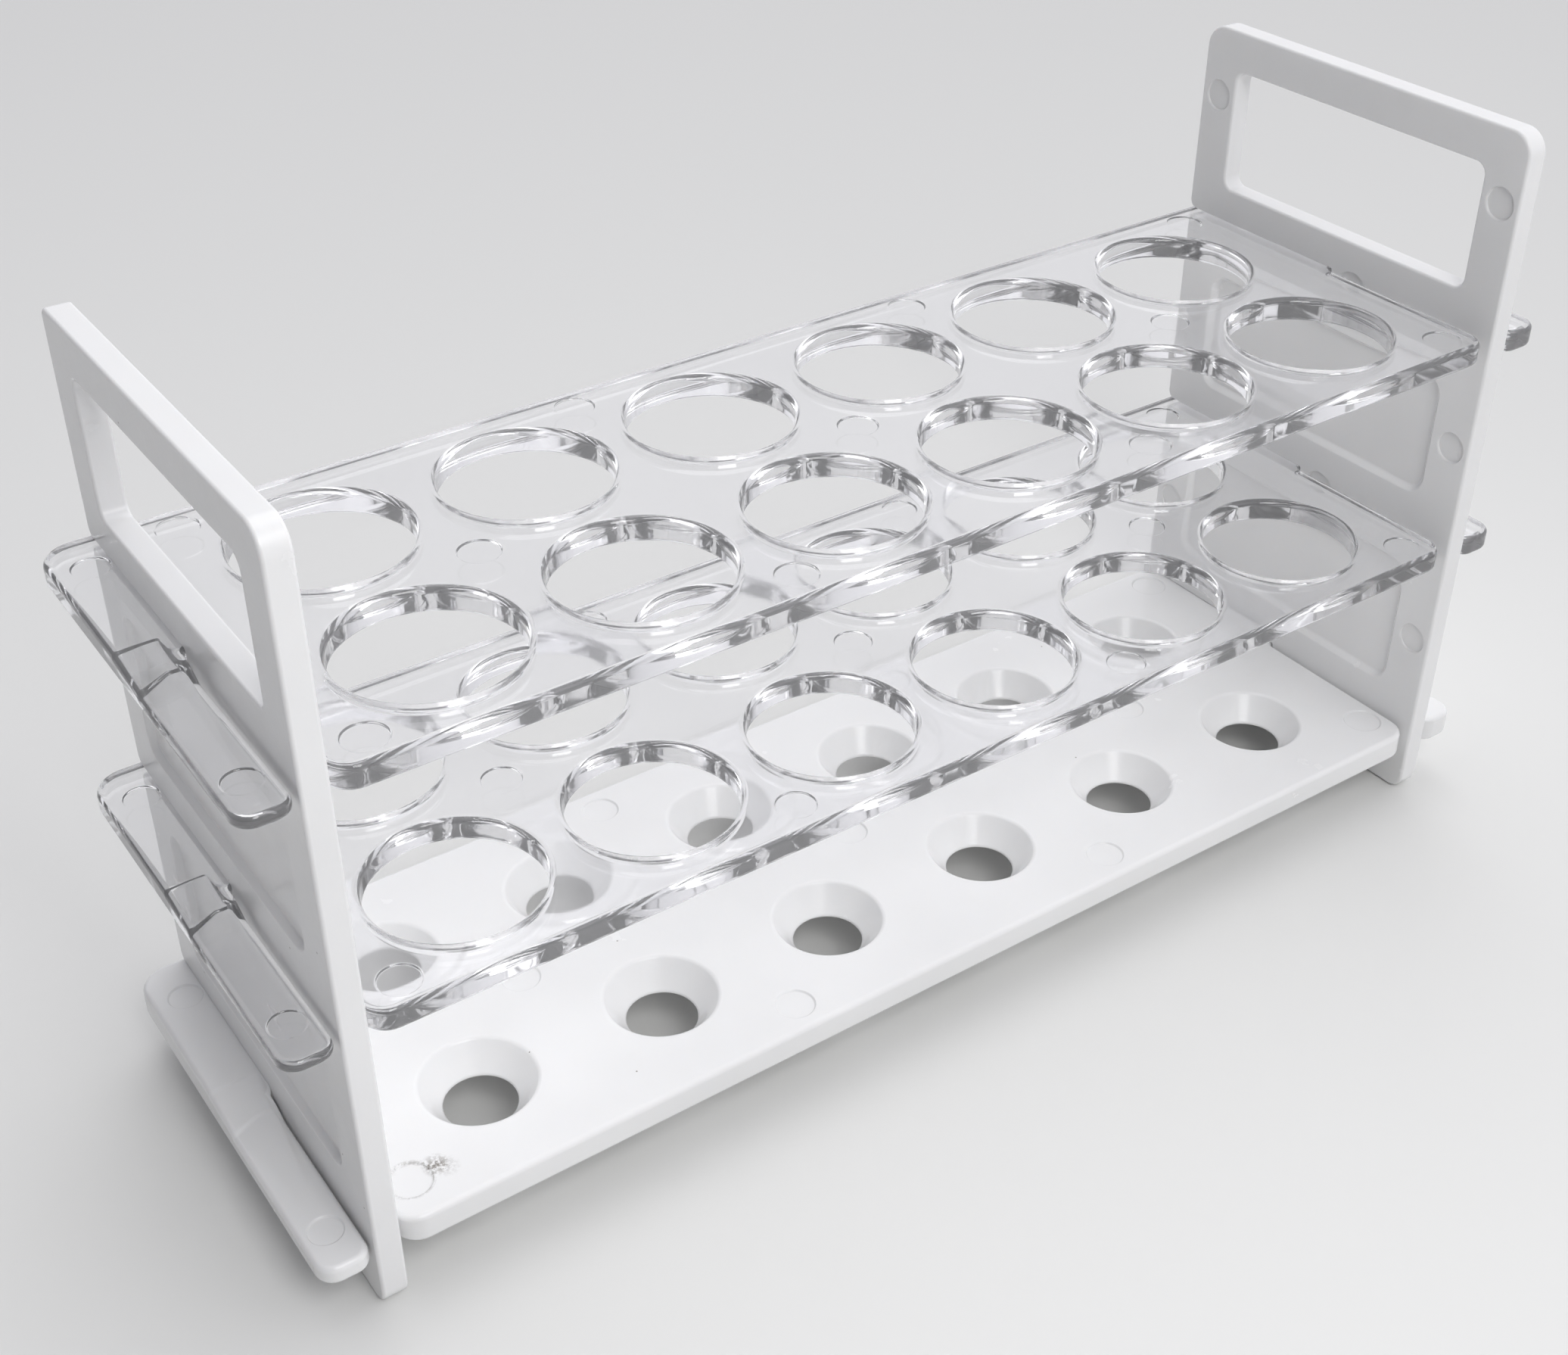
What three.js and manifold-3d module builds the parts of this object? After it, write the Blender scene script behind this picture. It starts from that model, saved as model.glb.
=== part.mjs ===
// Test tube holder: two end plates with handle windows, two clear shelves with round holes
// for twelve tubes, and a base shelf with a conical seat under each hole.
// Millimetres, +Z up. The origin is on the ground, at the centre of the outline:
// X runs along the length, -Y is the front, +Y is the back.
import * as THREE from 'three';
import { mergeVertices } from 'three/addons/utils/BufferGeometryUtils.js';
import Module from 'manifold-3d';

const wasm = await Module();
wasm.setup();

// ---- driving dimensions -------------------------------------------------------------------
const GAP = 0.3;                 // clearance between neighbouring pieces

const LENGTH = 228;              // over the ears of the shelves
const DEPTH = 70;                // front to back, the same for every piece
const HEIGHT = 126;              // ground to the top of the handles

const PLATE_THICKNESS = 4;
const PLATE_INNER_X = 102;       // inner face of each end plate
const PLATE_OUTER_X = PLATE_INNER_X + PLATE_THICKNESS;
const PLATE_TOP_RADIUS = 4;
const PLATE_SHARP_RADIUS = 1.3;  // the left handle's back corner is nearly sharp
const PLATE_FOOT_RADIUS = 3;
const PLATE_EDGE = 1.1;          // rounding of the plate's rim

const WINDOW = { halfWidth: 27.2, bottom: 98, top: 119.1, radius: 2 };   // the hand hole
const PANEL = { halfWidth: 26.6, radius: 3, depth: 1.1, slope: 0.8 };    // recessed panels
const PANEL_SPANS = [[20.4, 42.8], [59.6, 81.2]];                        // their lower and upper edges

const SHELF_THICKNESS = 4;
const TOP_SHELF_Z = 88;          // underside of the top shelf
const MIDDLE_SHELF_Z = 49;       // underside of the middle shelf
const BASE_THICKNESS = 5;
const BASE_Z = 9;                // underside of the base, so the plates stand below it as feet
const SHELF_EDGE = 0.5;          // rounding of the shelves' rims

const COLUMNS = 6;
const ROWS = 2;
const PITCH = 32;                // hole spacing, along and across
const HOLE_RADIUS = 13;          // takes a 25 mm tube
const SEAT_RADIUS = 9.1;         // rim of the conical seat in the base
const SEAT_DEPTH = 4.6;
const DRAIN_RADIUS = 5.65;       // hole through the bottom of each seat

const NOTCH_END_Y = GAP / 2;     // closed end of the notches and slots, at half depth
const BODY_CORNER = 4;           // front corners of a shelf between the end plates
const EAR = { back: 5, outerFront: 3, innerFront: 2.5 };                 // corner radii of the ears
const STEP = { drop: 1.8, start: 4.5, end: -4.5 };                       // ramp in the left ears' top face

// ---- helpers --------------------------------------------------------------------------------
// A closed outline through corners [x, y, radius]; each corner is turned with a true arc.
function roundedOutline(corners, steps = 4) {
  const points = [];
  corners.forEach(([x, y, radius], i) => {
    const corner = new THREE.Vector2(x, y);
    const [px, py] = corners[(i + corners.length - 1) % corners.length];
    const [nx, ny] = corners[(i + 1) % corners.length];
    const toPrevious = new THREE.Vector2(px, py).sub(corner).normalize();
    const toNext = new THREE.Vector2(nx, ny).sub(corner).normalize();
    const half = Math.acos(toPrevious.dot(toNext)) / 2;
    const bisector = toPrevious.clone().add(toNext).normalize();
    const centre = corner.clone().addScaledVector(bisector, radius / Math.sin(half));
    const reach = radius / Math.tan(half);
    const from = corner.clone().addScaledVector(toPrevious, reach).sub(centre);
    const to = corner.clone().addScaledVector(toNext, reach).sub(centre);
    let sweep = to.angle() - from.angle();
    if (sweep > Math.PI) sweep -= 2 * Math.PI;
    if (sweep < -Math.PI) sweep += 2 * Math.PI;
    for (let k = 0; k <= steps; k++) {
      const angle = from.angle() + (sweep * k) / steps;
      points.push(new THREE.Vector2(
        centre.x + radius * Math.cos(angle), centre.y + radius * Math.sin(angle)));
    }
  });
  return points;
}

function rectangle(x0, y0, x1, y1, radius) {
  return roundedOutline([[x0, y0, radius], [x1, y0, radius], [x1, y1, radius], [x0, y1, radius]]);
}

// A slab from z = 0 to z = thickness whose rim is rounded inside the outline.
function slab(outline, holes, thickness, rim, rimSteps) {
  const shape = new THREE.Shape(outline);
  holes.forEach((hole) => shape.holes.push(new THREE.Path(hole)));
  const geometry = new THREE.ExtrudeGeometry(shape, {
    depth: thickness - 2 * rim, bevelEnabled: true, bevelThickness: rim, bevelSize: rim,
    bevelOffset: -rim, bevelSegments: rimSteps,
  });
  return geometry.translate(0, 0, rim);
}

function toSolid(geometry) {
  const bare = geometry.clone();
  bare.deleteAttribute('normal');
  bare.deleteAttribute('uv');
  const merged = mergeVertices(bare, 1e-4);
  const index = merged.index.array;
  const triangles = [];
  for (let i = 0; i < index.length; i += 3) {
    const [a, b, c] = [index[i], index[i + 1], index[i + 2]];
    if (a !== b && b !== c && c !== a) triangles.push(a, b, c);
  }
  return new wasm.Manifold(new wasm.Mesh({
    numProp: 3,
    vertProperties: new Float32Array(merged.attributes.position.array),
    triVerts: new Uint32Array(triangles),
  }));
}

function toGeometry(solid) {
  const mesh = solid.getMesh();
  const geometry = new THREE.BufferGeometry();
  geometry.setAttribute('position', new THREE.BufferAttribute(mesh.vertProperties, 3));
  geometry.setIndex(new THREE.BufferAttribute(mesh.triVerts, 1));
  geometry.computeVertexNormals();
  return geometry;
}

function box(x0, x1, y0, y1, z0, z1) {
  const geometry = new THREE.BoxGeometry(x1 - x0, y1 - y0, z1 - z0);
  return toSolid(geometry.translate((x0 + x1) / 2, (y0 + y1) / 2, (z0 + z1) / 2));
}

// Centres of the tube places, seen from above.
const places = [];
for (let column = 0; column < COLUMNS; column++) {
  for (let row = 0; row < ROWS; row++) {
    places.push([(column - (COLUMNS - 1) / 2) * PITCH, (row - (ROWS - 1) / 2) * PITCH]);
  }
}

// ---- end plate --------------------------------------------------------------------------------
// Drawn flat: its x is the rack's Y, its y is the rack's Z, and z goes through the thickness.
function endPlate(backTopRadius) {
  const half = DEPTH / 2;
  const outline = roundedOutline([
    [-half, 0, PLATE_FOOT_RADIUS], [half, 0, PLATE_FOOT_RADIUS],
    [half, HEIGHT, backTopRadius], [-half, HEIGHT, PLATE_TOP_RADIUS],
  ], 5);
  const window = rectangle(-WINDOW.halfWidth, WINDOW.bottom, WINDOW.halfWidth, WINDOW.top,
    WINDOW.radius);
  let plate = toSolid(slab(outline, [window], PLATE_THICKNESS, PLATE_EDGE, 2));

  // recessed panels between the shelves, on both faces
  for (const [low, high] of PANEL_SPANS) {
    const pocket = slab(rectangle(-PANEL.halfWidth, low, PANEL.halfWidth, high, PANEL.radius), [],
      4, PANEL.slope, 1);
    plate = plate.subtract(toSolid(pocket.clone().translate(0, 0, PANEL.depth - 4)));
    plate = plate.subtract(toSolid(pocket.translate(0, 0, PLATE_THICKNESS - PANEL.depth)));
  }

  // slots, open at the back edge
  const levels = [[BASE_Z, BASE_THICKNESS], [MIDDLE_SHELF_Z, SHELF_THICKNESS],
    [TOP_SHELF_Z, SHELF_THICKNESS]];
  for (const [z, thickness] of levels) {
    const roof = z + thickness + GAP;
    plate = plate.subtract(box(-NOTCH_END_Y, half + 1, z - GAP, roof, -1, PLATE_THICKNESS + 1));
  }
  return toGeometry(plate);
}

// ---- shelves ------------------------------------------------------------------------------------
// The outline that all three shelves share: a body between the end plates, a neck through each
// plate's slot, and an ear outside it, with the notch between them open at the front.
function shelfOutline() {
  const end = LENGTH / 2;
  const half = DEPTH / 2;
  const inner = PLATE_INNER_X - GAP;
  const outer = PLATE_OUTER_X + GAP;
  const right = [
    [inner, -half, BODY_CORNER], [inner, NOTCH_END_Y, 0.8], [outer, NOTCH_END_Y, 0.8],
    [outer, -half, EAR.innerFront], [end, -half, EAR.outerFront], [end, half, EAR.back],
  ];
  const left = right.map(([x, y, radius]) => [-x, y, radius]).reverse();
  return roundedOutline([...right, ...left]);
}

// The front half of the left ear is thinner: a ramp leads down to it from the back half. The
// right ear has its full thickness all along.
function steppedEar(solid, thickness) {
  const low = thickness - STEP.drop;
  const side = new THREE.Shape([
    new THREE.Vector2(STEP.start, thickness), new THREE.Vector2(STEP.start, thickness + 1),
    new THREE.Vector2(-DEPTH, thickness + 1), new THREE.Vector2(-DEPTH, low),
    new THREE.Vector2(STEP.end, low),
  ]);
  const width = LENGTH / 2 - PLATE_OUTER_X + 1;
  const cutter = new THREE.ExtrudeGeometry(side, { depth: width, bevelEnabled: false });
  cutter.applyMatrix4(new THREE.Matrix4().makeBasis(
    new THREE.Vector3(0, 1, 0), new THREE.Vector3(0, 0, 1), new THREE.Vector3(1, 0, 0)));
  cutter.translate(-PLATE_OUTER_X - GAP - width, 0, 0);
  return solid.subtract(toSolid(cutter));
}

function clearShelf() {
  let shelf = toSolid(slab(shelfOutline(), [], SHELF_THICKNESS, SHELF_EDGE, 1));
  for (const [x, y] of places) {
    const hole = new THREE.CylinderGeometry(HOLE_RADIUS, HOLE_RADIUS, SHELF_THICKNESS + 2, 32);
    hole.rotateX(Math.PI / 2).translate(x, y, SHELF_THICKNESS / 2);
    shelf = shelf.subtract(toSolid(hole));
  }
  return toGeometry(steppedEar(shelf, SHELF_THICKNESS));
}

function baseShelf() {
  let base = toSolid(slab(shelfOutline(), [], BASE_THICKNESS, SHELF_EDGE, 1));
  const slope = (SEAT_RADIUS - DRAIN_RADIUS) / SEAT_DEPTH;
  const profile = [
    [0, -1], [DRAIN_RADIUS, -1], [DRAIN_RADIUS, BASE_THICKNESS - SEAT_DEPTH],
    [SEAT_RADIUS + slope, BASE_THICKNESS + 1], [0, BASE_THICKNESS + 1],
  ].map(([radius, height]) => new THREE.Vector2(radius, height));
  for (const [x, y] of places) {
    const seat = new THREE.LatheGeometry(profile, 28).rotateX(Math.PI / 2).translate(x, y, 0);
    base = base.subtract(toSolid(seat));
  }
  return toGeometry(steppedEar(base, BASE_THICKNESS));
}

// ---- materials ------------------------------------------------------------------------------------
const whitePlastic = new THREE.MeshStandardMaterial({ color: 0xe4e4e6, roughness: 0.42, metalness: 0 });
const clearPlastic = new THREE.MeshStandardMaterial({
  color: 0xdfe1e0, roughness: 0.08, metalness: 0, transparent: true, opacity: 0.4,
});

// ---- assembly ---------------------------------------------------------------------------------------
const rack = new THREE.Group();

function add(name, geometry, material, position) {
  const mesh = new THREE.Mesh(geometry, material);
  mesh.name = name;
  mesh.position.set(...position);
  rack.add(mesh);
  return mesh;
}

const upright = new THREE.Quaternion().setFromRotationMatrix(new THREE.Matrix4().makeBasis(
  new THREE.Vector3(0, 1, 0), new THREE.Vector3(0, 0, 1), new THREE.Vector3(1, 0, 0)));
add('end_plate_left', endPlate(PLATE_SHARP_RADIUS), whitePlastic, [-PLATE_OUTER_X, 0, 0])
  .quaternion.copy(upright);
add('end_plate_right', endPlate(PLATE_TOP_RADIUS), whitePlastic, [PLATE_INNER_X, 0, 0])
  .quaternion.copy(upright);

const shelfGeometry = clearShelf();
add('shelf_top', shelfGeometry, clearPlastic, [0, 0, TOP_SHELF_Z]);
add('shelf_middle', shelfGeometry, clearPlastic, [0, 0, MIDDLE_SHELF_Z]);
add('shelf_base', baseShelf(), whitePlastic, [0, 0, BASE_Z]);

export default rack;
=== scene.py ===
import math

import bpy
from mathutils import Matrix, Vector
from mathutils.geometry import delaunay_2d_cdt


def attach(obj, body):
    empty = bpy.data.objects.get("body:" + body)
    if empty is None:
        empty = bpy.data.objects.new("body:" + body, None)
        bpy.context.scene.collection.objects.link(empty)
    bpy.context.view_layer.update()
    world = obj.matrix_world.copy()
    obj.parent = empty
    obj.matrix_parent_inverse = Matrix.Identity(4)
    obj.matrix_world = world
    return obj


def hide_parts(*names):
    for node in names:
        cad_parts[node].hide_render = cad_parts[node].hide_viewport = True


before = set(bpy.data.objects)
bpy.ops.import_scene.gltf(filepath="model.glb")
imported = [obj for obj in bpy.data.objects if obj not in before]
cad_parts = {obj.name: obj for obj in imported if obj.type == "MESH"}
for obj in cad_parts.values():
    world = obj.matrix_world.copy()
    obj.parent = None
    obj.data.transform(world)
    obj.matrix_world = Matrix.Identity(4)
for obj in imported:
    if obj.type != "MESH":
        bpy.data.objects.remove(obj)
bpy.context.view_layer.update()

MM = 0.001
UP = math.pi / 2                # a profile's angle where its face looks straight up

# ---- sizes --------------------------------------------------------------------------------------
GAP = 0.3                       # clearance where a notch and a slot meet
HALF_LENGTH, HALF_DEPTH, HEIGHT = 114.0, 35.0, 126.0
PLATE_IN, PLATE_OUT, PLATE_T = 102.0, 106.0, 4.0
SHELF_T, BASE_T = 4.0, 5.0
BASE_Z, MIDDLE_Z, TOP_Z = 9.0, 49.0, 88.0
LEVELS = ((BASE_Z, BASE_T), (MIDDLE_Z, SHELF_T), (TOP_Z, SHELF_T))

COLUMNS, ROWS, PITCH = 6, 2, 32.0
PLACES = [((c - (COLUMNS - 1) / 2) * PITCH, (r - (ROWS - 1) / 2) * PITCH)
          for c in range(COLUMNS) for r in range(ROWS)]
HOLE_R = 13.0
SEAT_R, SEAT_DEPTH, DRAIN_R = 9.1, 4.6, 5.65

CORNER_STEPS, HOLE_STEPS, MARK_STEPS = 8, 64, 48
SLOPE_STEP = 0.05               # half the distance over which a slope is measured


# ---- outlines: lists of (x, y, outward normal x, y, rim scale), material on the left ------------
def rounded(corners, cuts=(), scale=lambda x, y: 1.0):
    """A closed outline through corners (x, y, radius). cuts adds points where a straight side
    passes those heights in y."""
    points = []
    count = len(corners)
    for i, (x, y, radius) in enumerate(corners):
        here = Vector((x, y))
        before = (Vector(corners[i - 1][:2]) - here).normalized()
        after = (Vector(corners[(i + 1) % count][:2]) - here).normalized()
        turn = after.x * before.y - after.y * before.x      # above 0 where the corner sticks out
        half = math.acos(max(-1.0, min(1.0, before.dot(after)))) / 2
        centre = here + (before + after).normalized() * (radius / math.sin(half))
        reach = radius / math.tan(half)
        a = here + before * reach - centre
        b = here + after * reach - centre
        start = math.atan2(a.y, a.x)
        sweep = math.atan2(b.y, b.x) - start
        sweep = (sweep + math.pi) % (2 * math.pi) - math.pi
        side = 1 if turn > 0 else -1
        for k in range(CORNER_STEPS + 1):
            t = start + sweep * k / CORNER_STEPS
            c, s = math.cos(t), math.sin(t)
            points.append((centre.x + radius * c, centre.y + radius * s, side * c, side * s))
    out = []
    for i, p in enumerate(points):
        q = points[(i + 1) % len(points)]
        out.append(p)
        same = abs(p[2] - q[2]) < 1e-6 and abs(p[3] - q[3]) < 1e-6
        low, high = min(p[1], q[1]) + 1e-6, max(p[1], q[1])
        crossed = [c for c in cuts if same and low < c and c + 1e-6 < high]
        for c in sorted(crossed, reverse=p[1] > q[1]):
            t = (c - p[1]) / (q[1] - p[1])
            out.append((p[0] + (q[0] - p[0]) * t, c, p[2], p[3]))
    return [(x, y, nx, ny, scale(x, y)) for x, y, nx, ny in out]


def hole_edge(loop):
    """The same outline as the edge of a hole."""
    return [(x, y, -nx, -ny, s) for x, y, nx, ny, s in reversed(loop)]


def rectangle_hole(half_width, low, high, radius):
    corners = [(-half_width, low), (half_width, low), (half_width, high), (-half_width, high)]
    return hole_edge(rounded([(x, y, radius) for x, y in corners]))


def round_hole(cx, cy, radius, steps):
    loop = []
    for k in range(steps):
        a = -2 * math.pi * k / steps
        c, s = math.cos(a), math.sin(a)
        loop.append((cx + radius * c, cy + radius * s, -c, -s, 1.0))
    return loop


# ---- profiles: lists of (offset past the outline, height, normal's angle above level) -----------
def rim_down(radius, top, steps):
    """From the top face over a rounded rim to the wall."""
    out = []
    for k in range(steps + 1):
        a = UP * (1 - k / steps)
        out.append((radius * (math.cos(a) - 1), top + radius * (math.sin(a) - 1), a))
    return out


def rim_under(radius, steps):
    """From the wall round to the bottom face, which is at height 0."""
    out = []
    for k in range(steps + 1):
        a = -math.pi / 2 * k / steps
        out.append((radius * (math.cos(a) - 1), radius * (math.sin(a) + 1), a))
    return out


def soft_step(width, top, depth, steps):
    """An S-shaped way down into a shallow recess."""
    out = []
    for k in range(steps + 1):
        t = k / steps
        slope = depth * math.pi / 2 * math.sin(math.pi * t) / width
        out.append((width * (t - 0.5), top - depth * (1 - math.cos(math.pi * t)) / 2,
                    math.atan2(1, slope)))
    return out


def turned_over(profile, face):
    """A profile drawn down from the top face at height face, as the way up to the bottom face."""
    return [(off, face - z, -angle) for off, z, angle in reversed(profile)]


# ---- meshes -------------------------------------------------------------------------------------
class Moulding:
    """Collects a closed mesh with its own normal at each face corner."""

    def __init__(self, drop=None):
        self.verts, self.faces, self.normals = [], [], []
        self.drop = drop                                # how far the top face is lowered at x, y

    def slope(self, x, y):
        if not self.drop:
            return 0.0, 0.0
        step = SLOPE_STEP
        return ((self.drop(x + step, y) - self.drop(x - step, y)) / (2 * step),
                (self.drop(x, y + step) - self.drop(x, y - step)) / (2 * step))

    def ring(self, loop, offset, height, angle):
        """height is a number or a function of x, y and the rim scale."""
        ids, normals = [], []
        c, up = math.cos(angle), math.sin(angle)
        for x, y, nx, ny, s in loop:
            px, py = x + nx * offset * s, y + ny * offset * s
            self.verts.append((px, py, height(px, py, s) if callable(height) else height))
            ids.append(len(self.verts) - 1)
            dx, dy = self.slope(px, py) if up > 0 else (0.0, 0.0)
            normals.append(Vector((nx * c + dx * up, ny * c + dy * up, up)).normalized())
        return ids, normals

    def sweep(self, loop, profile):
        """Walls from the first ring to the last; returns the two end rings."""
        rings = [self.ring(loop, *step) for step in profile]
        count = len(loop)
        for (upper, un), (lower, ln) in zip(rings, rings[1:]):
            for i in range(count):
                j = (i + 1) % count
                self.faces.append((upper[i], lower[i], lower[j], upper[j]))
                self.normals.append((un[i], ln[i], ln[j], un[j]))
        return rings[0][0], rings[-1][0]

    def cap(self, rings, up=True, inner=()):
        """A face across the rings, through the inner points as well."""
        ids = [i for ring in rings for i in ring]
        edges, start, outlines = [], 0, []
        for ring in rings:
            edges += [(start + i, start + (i + 1) % len(ring)) for i in range(len(ring))]
            outlines.append([self.verts[i][:2] for i in ring])
            start += len(ring)
        for p in inner:
            self.verts.append(p)
            ids.append(len(self.verts) - 1)
        flat = [Vector(self.verts[i][:2]) for i in ids]
        faces, origin = delaunay_2d_cdt(flat, edges, [], 0, 1e-6)[2:4]
        for face in faces:
            corners = [origin[v][0] for v in face]
            cx = sum(flat[v].x for v in corners) / len(corners)
            cy = sum(flat[v].y for v in corners) / len(corners)
            inside = False
            for outline in outlines:
                for (x0, y0), (x1, y1) in zip(outline, outline[1:] + outline[:1]):
                    if (y0 > cy) != (y1 > cy) and cx < x0 + (cy - y0) * (x1 - x0) / (y1 - y0):
                        inside = not inside
            if not inside:
                continue
            tri = [ids[v] for v in corners]
            a, b, c = (Vector(self.verts[i]) for i in tri[:3])
            if ((b - a).cross(c - a).z > 0) != up:
                tri.reverse()
            self.faces.append(tuple(tri))
            if up:
                tilts = [self.slope(*self.verts[i][:2]) for i in tri]
                self.normals.append(tuple(Vector((dx, dy, 1)).normalized() for dx, dy in tilts))
            else:
                self.normals.append((Vector((0, 0, -1)),) * len(tri))

    def build(self, name, place, plastic, node, body, slot):
        """place turns a drawn point in millimetres into the rack's frame."""
        turn = place.to_3x3()
        mesh = bpy.data.meshes.new(name)
        mesh.from_pydata([(place @ Vector(v)) * MM for v in self.verts], [], self.faces)
        mesh.polygons.foreach_set("use_smooth", [True] * len(mesh.polygons))
        mesh.normals_split_custom_set([(turn @ n).normalized() for f in self.normals for n in f])
        mesh.materials.append(plastic)
        obj = bpy.data.objects.new(name, mesh)
        bpy.context.scene.collection.objects.link(obj)
        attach(obj, body)
        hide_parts(node)


# ---- shelves ------------------------------------------------------------------------------------
STEP_DROP, STEP_START, STEP_END = 1.8, 4.5, -4.5
EAR_START = 105.4               # distance from the rack's middle where the step may begin
CURB_FADE = 0.9                 # width over which the curb's side comes down
RAMP_PARTS = (                  # share of the drop, distance past STEP_START, length, fold radius
    (0.14, 0.0, 0.5, 0.1),
    (0.58, 0.3, 7.9, 0.03),
    (0.28, 8.3, 0.6, 0.1),
)
CURB_RAMP_START, CURB_RAMP_LENGTH, CURB_RAMP_FOLD = -2.0, 3.4, 0.12
RAMP_ROWS = [STEP_END - 2 + 0.3 * k for k in range(40)]
EAR_COLUMNS = [105.9 + 0.4 * k for k in range(11)]

# pin marks: x, y, radius
PIN_MARKS = [(x, 0, 3.1) for x in (-64, 0, 64)]
PIN_MARKS += [(x, y, 3.1) for x in (-32, 32) for y in (-29.6, 29.6)]
PIN_MARKS += [(s * 110.15, -27.8, 2.6) for s in (-1, 1)] + [(s * 108.9, 26, 2.7) for s in (-1, 1)]
CLEAR_CORNERS = [(x, y, 3.1) for x in (-95.4, 95.4) for y in (-30.3, 29.4)]
BASE_CORNERS = [(x, y, 3.3) for x in (-97, 97) for y in (-27.8, 29.4)]


def shelf_outline():
    inner, outer, notch_end = PLATE_IN - GAP, PLATE_OUT + GAP, GAP / 2
    right = [(inner, -HALF_DEPTH, 4), (inner, notch_end, 0.8), (outer, notch_end, 0.8),
             (outer, -HALF_DEPTH, 2.5), (HALF_LENGTH, -HALF_DEPTH, 3), (HALF_LENGTH, HALF_DEPTH, 5)]
    left = [(-x, y, r) for x, y, r in reversed(right)]
    return rounded(right + left, cuts=RAMP_ROWS)


def soft_ramp(t, soft):
    """0 to 1 along a straight ramp whose two folds are rounded."""
    return (math.hypot(t, soft) - math.hypot(t - 1, soft) + 1) / 2


def ear_drop(x, y, curb):
    """How far the rim and the pin marks are lowered. On the left ear a ramp leads down towards the
    front inside a low curb beside the end plate, and the curb comes down a little later."""
    reach = -x
    if reach < EAR_START:
        return 0.0
    t = min(1.0, max(0.0, (reach - curb + CURB_FADE / 2) / CURB_FADE))
    pocket = t * t * (3 - 2 * t)
    down = STEP_START - y
    ramp = sum(share * soft_ramp((down - start) / length, fold)
               for share, start, length, fold in RAMP_PARTS)
    strip = soft_ramp((CURB_RAMP_START - y) / CURB_RAMP_LENGTH, CURB_RAMP_FOLD)
    return STEP_DROP * (ramp * pocket + strip * (1 - pocket))


def shelf_mark(top, sink):
    """The edge of a pin mark, from the face down to its floor."""
    return [(-0.2, top, UP), (-0.08, top - 0.04 * sink, 1.0), (0.04, top - 0.7 * sink, 0.6),
            (0.2, top - sink, UP)]


def shelf(thickness, edge, curb, hole, hole_profile, sink, corner_marks):
    """The slab that all three shelves share."""
    def drop(x, y):
        return ear_drop(x, y, curb)

    def lowered(height):
        return lambda x, y, s: height - drop(x, y)

    m = Moulding(drop)
    rim = [(off, lowered(height), angle) for off, height, angle in rim_down(edge, thickness, 6)]
    top_ring, bottom_ring = m.sweep(shelf_outline(), rim + rim_under(edge, 6))
    tops, bottoms = [top_ring], [bottom_ring]
    for x, y in PLACES:
        a, b = m.sweep(round_hole(x, y, hole, HOLE_STEPS), hole_profile)
        tops.append(a)
        bottoms.append(b)
    for x, y, radius in PIN_MARKS + corner_marks:
        mark = shelf_mark(thickness - drop(x, y), sink)
        a, b = m.sweep(round_hole(x, y, radius, MARK_STEPS), mark)
        tops.append(a)
        m.cap([b])
    # points across both ears, clear of the notch. They are at full height on the left ear too,
    # where the rim around them is lowered
    wall = PLATE_OUT + GAP + edge + 0.2
    ears = [(side * x, y, thickness) for side in (-1, 1) for x in EAR_COLUMNS for y in RAMP_ROWS
            if x > wall or y > edge + 0.4]
    m.cap(tops, inner=ears)
    m.cap(bottoms, up=False)
    return m


def clear_shelf():
    return shelf(thickness=SHELF_T, edge=1.0, curb=107.9, hole=HOLE_R,
                 hole_profile=rim_down(1.1, SHELF_T, 7) + rim_under(0.8, 6),
                 sink=0.2, corner_marks=CLEAR_CORNERS)


def base_shelf():
    inside = SEAT_R - DRAIN_R
    slope = math.atan2(inside, SEAT_DEPTH)
    seat = [(-0.45, BASE_T, UP), (-0.2, BASE_T - 0.05, 1.3), (0.05, BASE_T - 0.2, 1.0),
            (0.3, BASE_T - 0.42, slope)]
    seat += [(inside - 0.25, 0.65, slope), (inside - 0.06, 0.42, 0.35)]
    seat += [(inside + off, z, angle) for off, z, angle in rim_under(0.28, 3)]
    return shelf(thickness=BASE_T, edge=0.9, curb=106.4, hole=SEAT_R, hole_profile=seat,
                 sink=0.34, corner_marks=BASE_CORNERS)


# ---- end plates: drawn with x along the rack's Y and y upward -----------------------------------
PLATE_RIM, WINDOW_RIM = 0.55, 0.5
TOP_RADIUS, SHARP_RADIUS = 4, 1.3
WINDOW_HALF, WINDOW_LOW, WINDOW_HIGH = 27.2, 98, 119.1
PANEL_HALF, PANEL_HEIGHTS = 26.6, ((20.4, 42.8), (59.6, 81.2))
PANEL_BEVEL, PANEL_DEPTH = 1.2, 1.1
PLATE_MARKS = [(x, y, 2.75) for x in (-31.1, 31.1) for y in (32, 70.6, 113.9)]
PLATE_MARKS += [(-4.8, 89.7, 3.2), (-4.8, 50.7, 3.2)]
PLATE_MARK = [(-0.12, 0, UP), (-0.02, -0.06, 1.1), (0.05, -0.5, 0.3), (0.22, -0.58, UP)]


def rim_scale(x, y):
    """The rim is nearly sharp along the slots and full round everywhere else."""
    for z, t in LEVELS:
        if x > -0.5 and z - GAP - 0.4 < y < z + t + GAP + 0.4:
            return 0.25 + 0.75 * min(1.0, max(0.0, (x - 33.4) / 1.6))
    return 1.0


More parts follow.
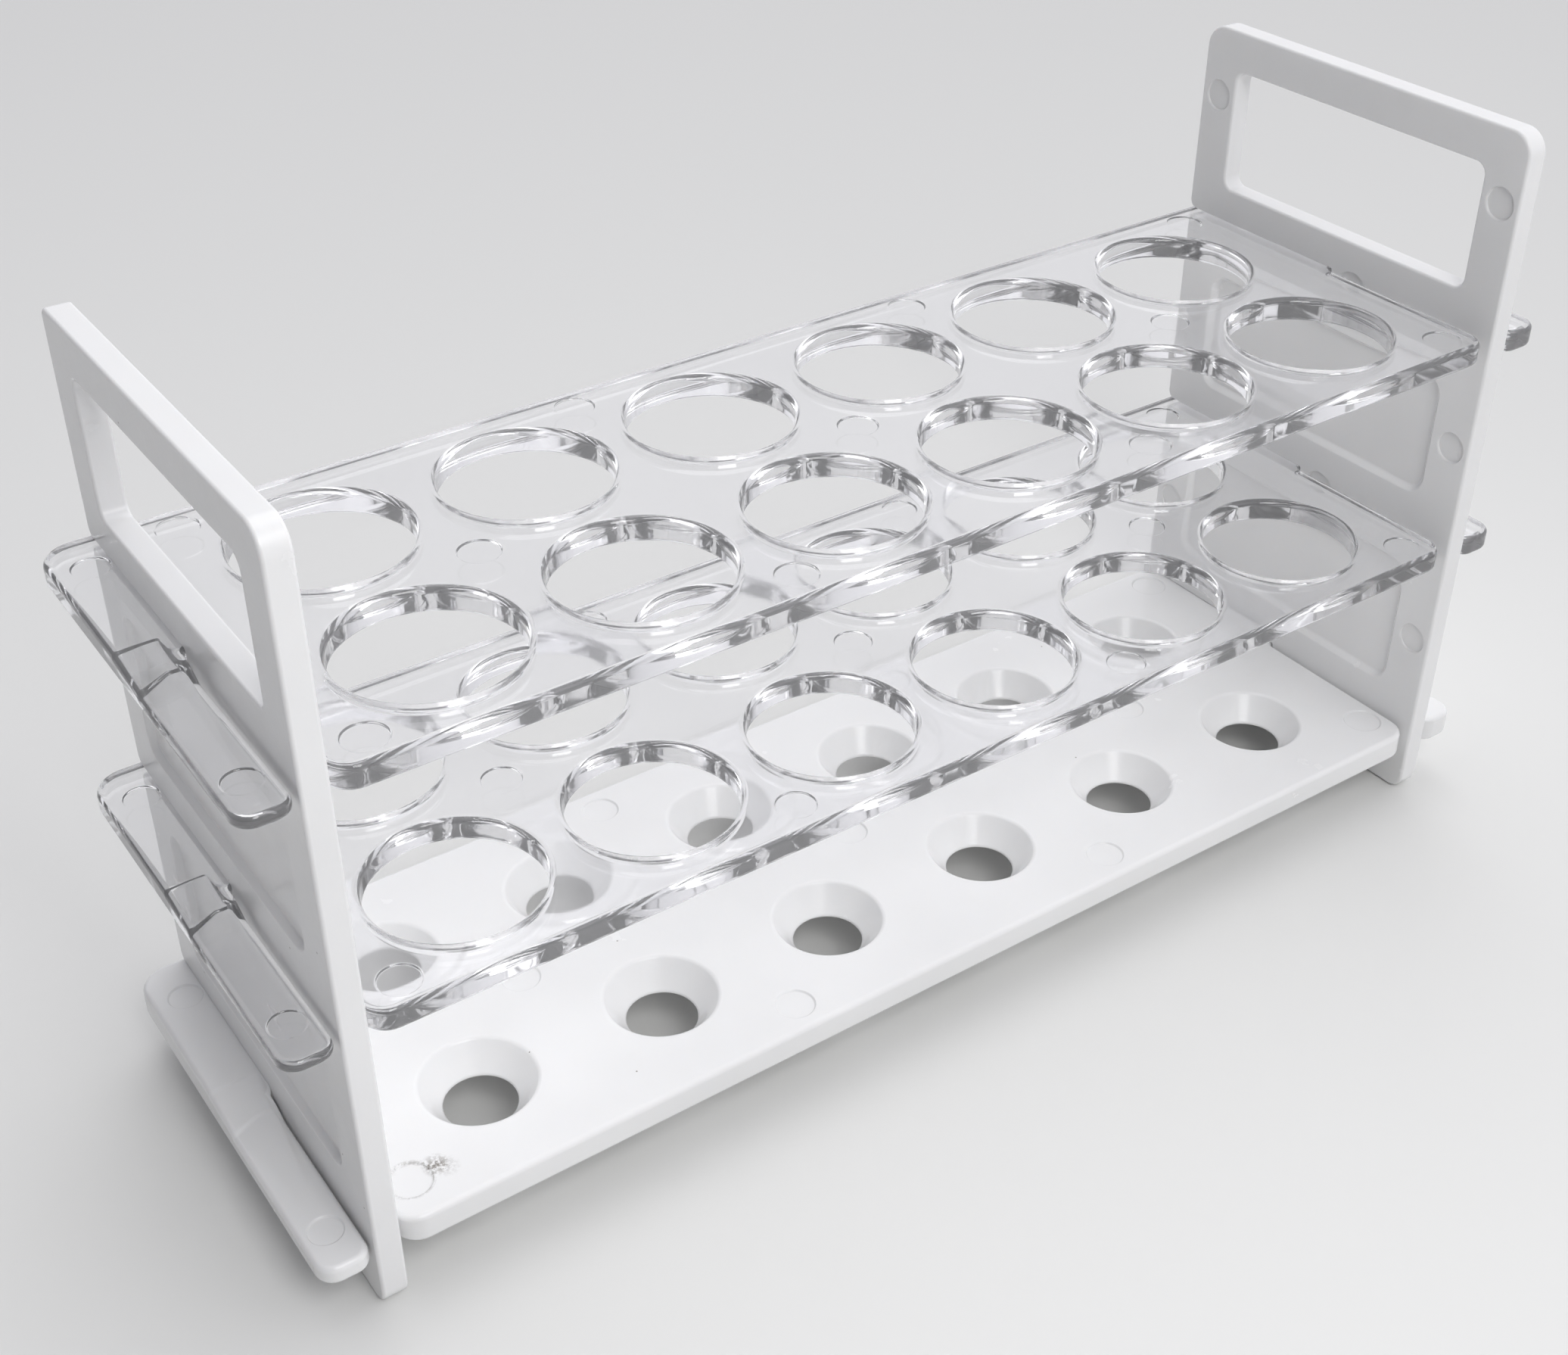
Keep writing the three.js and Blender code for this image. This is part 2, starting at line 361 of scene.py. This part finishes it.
def plate_outline(back_radius):
    corners = [(-HALF_DEPTH, 0, 3), (HALF_DEPTH, 0, 3)]
    for z, t in LEVELS:
        floor, roof = z - 0.1, z + t + 0.1
        corners += [(HALF_DEPTH, floor, 1.5), (-GAP / 2, floor, 0.4),
                    (-GAP / 2, roof, 0.4), (HALF_DEPTH, roof, 1.5)]
    corners += [(HALF_DEPTH, HEIGHT, back_radius), (-HALF_DEPTH, HEIGHT, TOP_RADIUS)]
    return rounded(corners, scale=rim_scale)


def scaled(profile, base):
    """The profile with its heights drawn in towards base by the rim scale."""
    def height(z):
        return lambda x, y, s: base + (z - base) * s
    return [(off, height(z), angle) for off, z, angle in profile]


def end_plate(inner_up, back_radius):
    """inner_up says whether the inner face, which has the pin marks, is the drawn top face.
    back_radius rounds the handle's top corner at the back."""
    m = Moulding()
    rim = scaled(rim_down(PLATE_RIM, PLATE_T, 5), PLATE_T) + scaled(rim_under(PLATE_RIM, 5), 0)
    a, b = m.sweep(plate_outline(back_radius), rim)
    tops, bottoms = [a], [b]
    window = rectangle_hole(WINDOW_HALF, WINDOW_LOW, WINDOW_HIGH, radius=2)
    a, b = m.sweep(window, rim_down(WINDOW_RIM, PLATE_T, 5) + rim_under(WINDOW_RIM, 5))
    tops.append(a)
    bottoms.append(b)
    step = soft_step(PANEL_BEVEL, PLATE_T, PANEL_DEPTH, 8)
    for low, high in PANEL_HEIGHTS:
        panel = rectangle_hole(PANEL_HALF, low, high, radius=3)
        a, b = m.sweep(panel, step)
        tops.append(a)
        m.cap([b])
        a, b = m.sweep(panel, turned_over(step, PLATE_T))
        m.cap([a], up=False)
        bottoms.append(b)
    for x, y, radius in PLATE_MARKS:
        loop = round_hole(x, y, radius, MARK_STEPS)
        if inner_up:
            a, b = m.sweep(loop, [(off, PLATE_T + z, angle) for off, z, angle in PLATE_MARK])
            tops.append(a)
            m.cap([b])
        else:
            a, b = m.sweep(loop, turned_over(PLATE_MARK, 0))
            m.cap([a], up=False)
            bottoms.append(b)
    m.cap(tops)
    m.cap(bottoms, up=False)
    return m


# ---- materials ----------------------------------------------------------------------------------
BLACK, FULL = (0, 0, 0), (1, 1, 1)
SPECK, SOIL = (0.3, 0.28, 0.25), (0.17, 0.145, 0.12)
BASE_TOP = BASE_Z + BASE_T
DIRTY_MARK = (-97, -27.8, BASE_TOP)
PATCH, SMEAR = (-92.8, -27.2, BASE_TOP), (-91.6, -28.4, BASE_TOP)


def material(name):
    mat = bpy.data.materials.new(name)
    mat.use_nodes = True
    return mat, mat.node_tree.nodes, mat.node_tree.links, mat.node_tree.nodes["Principled BSDF"]


def noise(nodes, links, coords, scale, detail, rough=0.5):
    n = nodes.new("ShaderNodeTexNoise")
    n.inputs["Scale"].default_value = scale
    n.inputs["Detail"].default_value = detail
    n.inputs["Roughness"].default_value = rough
    links.new(coords, n.inputs["Vector"])
    return n.outputs["Fac"]


def ramp(nodes, links, value, stops):
    r = nodes.new("ShaderNodeValToRGB")
    for element, (position, colour) in zip(r.color_ramp.elements, (stops[0], stops[-1])):
        element.position, element.color = position, (*colour, 1)
    for position, colour in stops[1:-1]:
        r.color_ramp.elements.new(position).color = (*colour, 1)
    links.new(value, r.inputs["Fac"])
    return r.outputs["Color"]


def spread(nodes, links, value, low, high):
    r = nodes.new("ShaderNodeMapRange")
    r.inputs["To Min"].default_value = low
    r.inputs["To Max"].default_value = high
    links.new(value, r.inputs["Value"])
    return r.outputs["Result"]


def bump(nodes, links, height, strength, distance, under=None):
    b = nodes.new("ShaderNodeBump")
    b.inputs["Strength"].default_value = strength
    b.inputs["Distance"].default_value = distance
    links.new(height, b.inputs["Height"])
    if under:
        links.new(under, b.inputs["Normal"])
    return b.outputs["Normal"]


def math_node(nodes, links, operation, a, b):
    m = nodes.new("ShaderNodeMath")
    m.operation = operation
    m.use_clamp = True
    for socket, value in zip(m.inputs, (a, b)):
        if isinstance(value, (int, float)):
            socket.default_value = value
        else:
            links.new(value, socket)
    return m.outputs["Value"]


def near(nodes, links, where, centre, inner, outer):
    """1 within the inner distance of a point, fading to 0 at the outer one. Millimetres."""
    d = nodes.new("ShaderNodeVectorMath")
    d.operation = "DISTANCE"
    links.new(where, d.inputs[0])
    d.inputs[1].default_value = [c * MM for c in centre]
    r = nodes.new("ShaderNodeMapRange")
    r.inputs["From Min"].default_value = inner * MM
    r.inputs["From Max"].default_value = outer * MM
    r.inputs["To Min"].default_value = 1
    r.inputs["To Max"].default_value = 0
    links.new(d.outputs["Value"], r.inputs["Value"])
    return r.outputs["Result"]


def mixed(nodes, links, factor, a, b):
    m = nodes.new("ShaderNodeMix")
    m.data_type = "RGBA"
    links.new(factor, m.inputs["Factor"])
    links.new(a, m.inputs["A"])
    m.inputs["B"].default_value = (*b, 1)
    return m.outputs["Result"]


def with_specks(nodes, links, where, colour):
    """A few dark specks moulded into the surface."""
    cells = nodes.new("ShaderNodeTexVoronoi")
    cells.inputs["Scale"].default_value = 170
    links.new(where, cells.inputs["Vector"])
    spot = ramp(nodes, links, cells.outputs["Distance"], [(0.018, FULL), (0.032, BLACK)])
    few = nodes.new("ShaderNodeSeparateColor")
    links.new(cells.outputs["Color"], few.inputs["Color"])
    rare = math_node(nodes, links, "GREATER_THAN", few.outputs["Red"], 0.8)
    return mixed(nodes, links, math_node(nodes, links, "MULTIPLY", spot, rare), colour, SPECK)


def with_soil(nodes, links, where, colour):
    """Dirt rubbed in beside one of the base's pin marks, and a faint ring of it round the mark."""
    speckle = noise(nodes, links, where, 1700, 6, 0.7)
    grit = ramp(nodes, links, speckle, [(0.42, BLACK), (0.56, FULL)])
    patch = near(nodes, links, where, PATCH, 0.2, 2.2)
    smear = near(nodes, links, where, SMEAR, 0.1, 2.2)
    smear = math_node(nodes, links, "MULTIPLY", smear, 0.45)
    patch = math_node(nodes, links, "ADD", patch, smear)
    ring = math_node(nodes, links, "SUBTRACT", near(nodes, links, where, DIRTY_MARK, 3.3, 3.8),
                     near(nodes, links, where, DIRTY_MARK, 2.9, 3.3))
    ring = math_node(nodes, links, "MULTIPLY", ring, 0.5)
    patch = math_node(nodes, links, "ADD", patch, ring)
    soil = math_node(nodes, links, "MULTIPLY", patch, grit)
    return mixed(nodes, links, math_node(nodes, links, "MULTIPLY", soil, 0.85), colour, SOIL)


def white_plastic(name, dirty):
    mat, nodes, links, shader = material(name)
    where = nodes.new("ShaderNodeTexCoord").outputs["Object"]
    cloud = noise(nodes, links, where, 28, 3)
    colour = ramp(nodes, links, cloud, [(0.3, (0.80, 0.80, 0.80)), (0.7, (0.85, 0.85, 0.85))])
    colour = with_specks(nodes, links, where, colour)
    if dirty:
        colour = with_soil(nodes, links, where, colour)
    links.new(colour, shader.inputs["Base Color"])
    gloss = spread(nodes, links, noise(nodes, links, where, 120, 5), 0.16, 0.32)
    links.new(gloss, shader.inputs["Roughness"])
    grain = bump(nodes, links, noise(nodes, links, where, 1400, 3), 0.14, 0.00006)
    waves = bump(nodes, links, noise(nodes, links, where, 90, 2), 0.15, 0.0003, grain)
    links.new(waves, shader.inputs["Normal"])
    shader.inputs["IOR"].default_value = 1.49
    shader.inputs["Subsurface Weight"].default_value = 0.12
    shader.inputs["Subsurface Scale"].default_value = 0.002
    shader.inputs["Subsurface Radius"].default_value = (1.0, 0.9, 0.8)
    return mat


def clear_plastic():
    mat, nodes, links, shader = material("clear_plastic")
    where = nodes.new("ShaderNodeTexCoord").outputs["Object"]
    cloud = noise(nodes, links, where, 20, 2)
    tint = ramp(nodes, links, cloud, [(0.3, (0.88, 0.88, 0.89)), (0.7, (0.91, 0.91, 0.92))])
    links.new(tint, shader.inputs["Base Color"])
    gloss = spread(nodes, links, noise(nodes, links, where, 160, 5), 0.0, 0.08)
    links.new(gloss, shader.inputs["Roughness"])
    waves = bump(nodes, links, noise(nodes, links, where, 60, 2), 0.12, 0.0004)
    links.new(waves, shader.inputs["Normal"])
    shader.inputs["Transmission Weight"].default_value = 0.94      # a little haze in the moulding
    shader.inputs["IOR"].default_value = 1.52
    # lamp light goes straight through, a little dimmed, where real plastic would also bend it
    through = nodes.new("ShaderNodeBsdfTransparent")
    through.inputs["Color"].default_value = (0.86, 0.86, 0.86, 1)
    mix = nodes.new("ShaderNodeMixShader")
    links.new(nodes.new("ShaderNodeLightPath").outputs["Is Shadow Ray"], mix.inputs["Fac"])
    links.new(shader.outputs["BSDF"], mix.inputs[1])
    links.new(through.outputs["BSDF"], mix.inputs[2])
    links.new(mix.outputs["Shader"], nodes["Material Output"].inputs["Surface"])
    return mat


# ---- the five pieces ----------------------------------------------------------------------------
WHITE = white_plastic("white_plastic", dirty=False)
WHITE_BASE = white_plastic("white_base", dirty=True)
CLEAR = clear_plastic()


def at(x, z):
    return Matrix.Translation((x, 0, z))


UPRIGHT = Matrix(((0, 0, 1, 0), (1, 0, 0, 0), (0, 1, 0, 0), (0, 0, 0, 1)))
end_plate(True, SHARP_RADIUS).build("left_end", at(-PLATE_OUT, 0) @ UPRIGHT, WHITE,
                                    "end_plate_left", "frame", "white_plastic")
end_plate(False, TOP_RADIUS).build("right_end", at(PLATE_IN, 0) @ UPRIGHT, WHITE,
                                   "end_plate_right", "frame", "white_plastic")
clear_shelf().build("top_tier", at(0, TOP_Z), CLEAR, "shelf_top", "top_shelf", "clear_plastic")
clear_shelf().build("middle_tier", at(0, MIDDLE_Z), CLEAR, "shelf_middle", "middle_shelf",
                    "clear_plastic")
base_shelf().build("base_tier", at(0, BASE_Z), WHITE_BASE, "shelf_base", "frame", "white_plastic")

# ---- floor and room -----------------------------------------------------------------------------
FLOOR_HALF, FLOOR_Z = 6, -0.0002
FLOOR_COLOUR = (0.77, 0.77, 0.755, 1)
BRIGHT_SIDE = (0.85, 0.25, 0.4)                     # the way to the bright side of the room
ROOM = [(0.0, (0.05, 0.05, 0.055)), (0.33, (0.2, 0.2, 0.22)), (0.62, (0.72, 0.72, 0.75)),
        (1.0, (1.0, 1.0, 1.04))]

floor_mesh = bpy.data.meshes.new("floor")
floor_corners = [(x * FLOOR_HALF, y * FLOOR_HALF, FLOOR_Z)
                 for x, y in ((-1, -1), (1, -1), (1, 1), (-1, 1))]
floor_mesh.from_pydata(floor_corners, [], [(0, 1, 2, 3)])
floor = bpy.data.objects.new("floor", floor_mesh)
bpy.context.scene.collection.objects.link(floor)
floor_mat, _, _, floor_shader = material("floor")
floor_shader.inputs["Base Color"].default_value = FLOOR_COLOUR
floor_shader.inputs["Roughness"].default_value = 0.9
floor_mesh.materials.append(floor_mat)

world = bpy.data.worlds.new("studio")
bpy.context.scene.world = world
world.use_nodes = True
sky, sky_links = world.node_tree.nodes, world.node_tree.links
across = sky.new("ShaderNodeVectorMath")
across.operation = "DOT_PRODUCT"
across.inputs[1].default_value = BRIGHT_SIDE
sky_links.new(sky.new("ShaderNodeTexCoord").outputs["Generated"], across.inputs[0])
brightness = spread(sky, sky_links, across.outputs["Value"], 0, 1)
brightness.node.inputs["From Min"].default_value = -0.8
sky_links.new(ramp(sky, sky_links, brightness, ROOM), sky["Background"].inputs["Color"])
sky["Background"].inputs["Strength"].default_value = 1.0

# ---- lamps and camera ---------------------------------------------------------------------------
LAMP_AIM = (0, 0, 0.06)
CAMERA_AT, CAMERA_AIM = (-0.1689, -0.2239, 0.2386), (-0.02075, -0.01037, 0.06)
CAMERA_ROLL = math.radians(-0.06)


def softbox(name, place, size, power):
    data = bpy.data.lights.new(name, "AREA")
    data.shape = "RECTANGLE"
    data.size, data.size_y = size
    data.energy = power
    lamp = bpy.data.objects.new(name, data)
    lamp.location = place
    lamp.rotation_mode = "QUATERNION"
    lamp.rotation_quaternion = (Vector(LAMP_AIM) - Vector(place)).to_track_quat("-Z", "Y")
    bpy.context.scene.collection.objects.link(lamp)


softbox("front", (-0.1, -0.38, 0.42), (0.2, 0.24), 1.0)
softbox("key", (0.4, -0.95, 1.05), (0.9, 0.8), 1.6)
softbox("top", (0.25, 0.35, 1.2), (0.6, 1.2), 3)

bpy.context.scene.view_settings.view_transform = "Standard"

camera_data = bpy.data.cameras.new("camera")
camera = bpy.data.objects.new("camera", camera_data)
bpy.context.scene.collection.objects.link(camera)
camera.location = CAMERA_AT
view_along = Vector(CAMERA_AIM) - camera.location
camera.rotation_mode = "QUATERNION"
camera.rotation_quaternion = (view_along.to_track_quat("-Z", "Y").to_matrix()
                              @ Matrix.Rotation(CAMERA_ROLL, 3, "Z")).to_quaternion()
camera_data.lens = 47.9
camera_data.sensor_width = 36
camera_data.clip_start, camera_data.clip_end = 0.01, 30
bpy.context.scene.camera = camera
